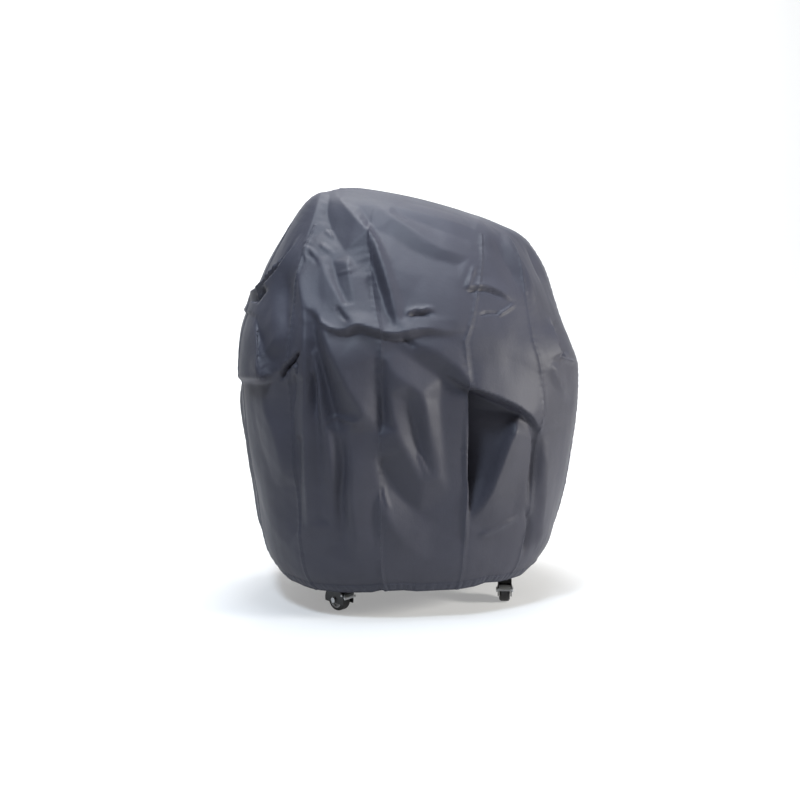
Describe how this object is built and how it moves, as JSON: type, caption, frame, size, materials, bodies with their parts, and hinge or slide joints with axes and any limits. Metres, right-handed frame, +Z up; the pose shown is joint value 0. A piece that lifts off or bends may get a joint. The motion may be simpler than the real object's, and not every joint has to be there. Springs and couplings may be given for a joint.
{
  "type": "fitted grill cover on a wheeled barrel grill",
  "caption": "Fitted fabric cover of sewn panels, draped over a compact barrel grill with a smokestack on swivel casters.",
  "frame": {"origin": "on the floor under the middle of the cover's width and depth", "axes": "+X to the right seen from the front, front towards -Y, +Z up"},
  "size_m": [0.897, 0.676, 1.084],
  "materials": {
    "cover_cloth": "waterproof coated polyester, satin",
    "hem_elastic": "folded hem with elastic inside",
    "tape": "binding tape",
    "enamel": "black heat-proof enamel",
    "iron": "bare",
    "zinc": "zinc plated",
    "wood": "oiled hardwood",
    "caster_black": "gloss black",
    "wheel_core": "moulded",
    "tyre": "smooth rubber"
  },
  "bodies": {
    "grill": {"fire_bowl": "enamel", "lid": "enamel", "cooking_grate": "zinc", "charcoal_grate": "iron", "smokestack": "enamel", "stack_cap": "enamel", "lid_handle_grip": "wood", "lid_handle_posts": "zinc", "thermometer": "zinc", "lid_hinges": "enamel", "left_shelf": "wood", "right_shelf": "wood", "left_shelf_brackets": "enamel", "right_shelf_brackets": "enamel", "base_frame": "enamel", "front_left_leg": "enamel", "front_right_leg": "enamel", "back_left_leg": "enamel", "back_right_leg": "enamel", "bottom_shelf": "enamel", "cross_rails": "enamel", "caster_screws": "zinc", "leg_bolts": "zinc", "front_left_caster_plate": "zinc", "front_right_caster_plate": "zinc", "back_left_caster_plate": "zinc", "back_right_caster_plate": "zinc"},
    "cover": {"front_centre_panel": "cover_cloth", "front_right_panel": "cover_cloth", "right_front_panel": "cover_cloth", "right_back_panel": "cover_cloth", "back_right_panel": "cover_cloth", "back_centre_panel": "cover_cloth", "back_left_panel": "cover_cloth", "left_back_panel": "cover_cloth", "left_front_panel": "cover_cloth", "front_left_panel": "cover_cloth", "top_panel": "cover_cloth", "hem_band": "hem_elastic", "seam_tapes": "tape"},
    "front_left_fork": {"front_left_caster_fork": "caster_black", "front_left_caster_axle": "zinc"},
    "front_left_wheel": {"front_left_caster_wheel": "wheel_core", "front_left_caster_tyre": "tyre"},
    "front_left_brake": {"front_left_caster_brake": "zinc"},
    "front_right_fork": {"front_right_caster_fork": "caster_black", "front_right_caster_axle": "zinc"},
    "front_right_wheel": {"front_right_caster_wheel": "wheel_core", "front_right_caster_tyre": "tyre"},
    "front_right_brake": {"front_right_caster_brake": "zinc"},
    "back_left_fork": {"back_left_caster_fork": "caster_black", "back_left_caster_axle": "zinc"},
    "back_left_wheel": {"back_left_caster_wheel": "wheel_core", "back_left_caster_tyre": "tyre"},
    "back_right_fork": {"back_right_caster_fork": "caster_black", "back_right_caster_axle": "zinc"},
    "back_right_wheel": {"back_right_caster_wheel": "wheel_core", "back_right_caster_tyre": "tyre"}
  },
  "joints": [
    {"name": "cover_lift", "type": "slide", "parent": "grill", "child": "cover", "axis": [0, 0, 1], "range_m": [0, 1.15]},
    {"name": "front_left_swivel", "type": "hinge", "parent": "grill", "child": "front_left_fork", "pos_m": [-0.228, -0.152, 0.065], "axis": [0, 0, 1], "continuous": true},
    {"name": "front_left_roll", "type": "hinge", "parent": "front_left_fork", "child": "front_left_wheel", "pos_m": [-0.21538, -0.17002, 0.03], "axis": [0.8192, 0.5736, 0], "continuous": true},
    {"name": "front_left_brake_press", "type": "hinge", "parent": "front_left_fork", "child": "front_left_brake", "pos_m": [-0.198, -0.19485, 0.0475], "axis": [0.8192, 0.5736, 0], "range_deg": [0, 5]},
    {"name": "front_right_swivel", "type": "hinge", "parent": "grill", "child": "front_right_fork", "pos_m": [0.228, -0.152, 0.065], "axis": [0, 0, 1], "continuous": true},
    {"name": "front_right_roll", "type": "hinge", "parent": "front_right_fork", "child": "front_right_wheel", "pos_m": [0.22268, -0.17335, 0.03], "axis": [0.9703, -0.2419, 0], "continuous": true},
    {"name": "front_right_brake_press", "type": "hinge", "parent": "front_right_fork", "child": "front_right_brake", "pos_m": [0.21535, -0.20276, 0.0475], "axis": [0.9703, -0.2419, 0], "range_deg": [0, 5]},
    {"name": "back_left_swivel", "type": "hinge", "parent": "grill", "child": "back_left_fork", "pos_m": [-0.228, 0.152, 0.065], "axis": [0, 0, 1], "continuous": true},
    {"name": "back_left_roll", "type": "hinge", "parent": "back_left_fork", "child": "back_left_wheel", "pos_m": [-0.217, 0.17105, 0.03], "axis": [-0.866, 0.5, 0], "continuous": true},
    {"name": "back_right_swivel", "type": "hinge", "parent": "grill", "child": "back_right_fork", "pos_m": [0.228, 0.152, 0.065], "axis": [0, 0, 1], "continuous": true},
    {"name": "back_right_roll", "type": "hinge", "parent": "back_right_fork", "child": "back_right_wheel", "pos_m": [0.2187, 0.17194, 0.03], "axis": [-0.9063, -0.4226, 0], "continuous": true}
  ]
}
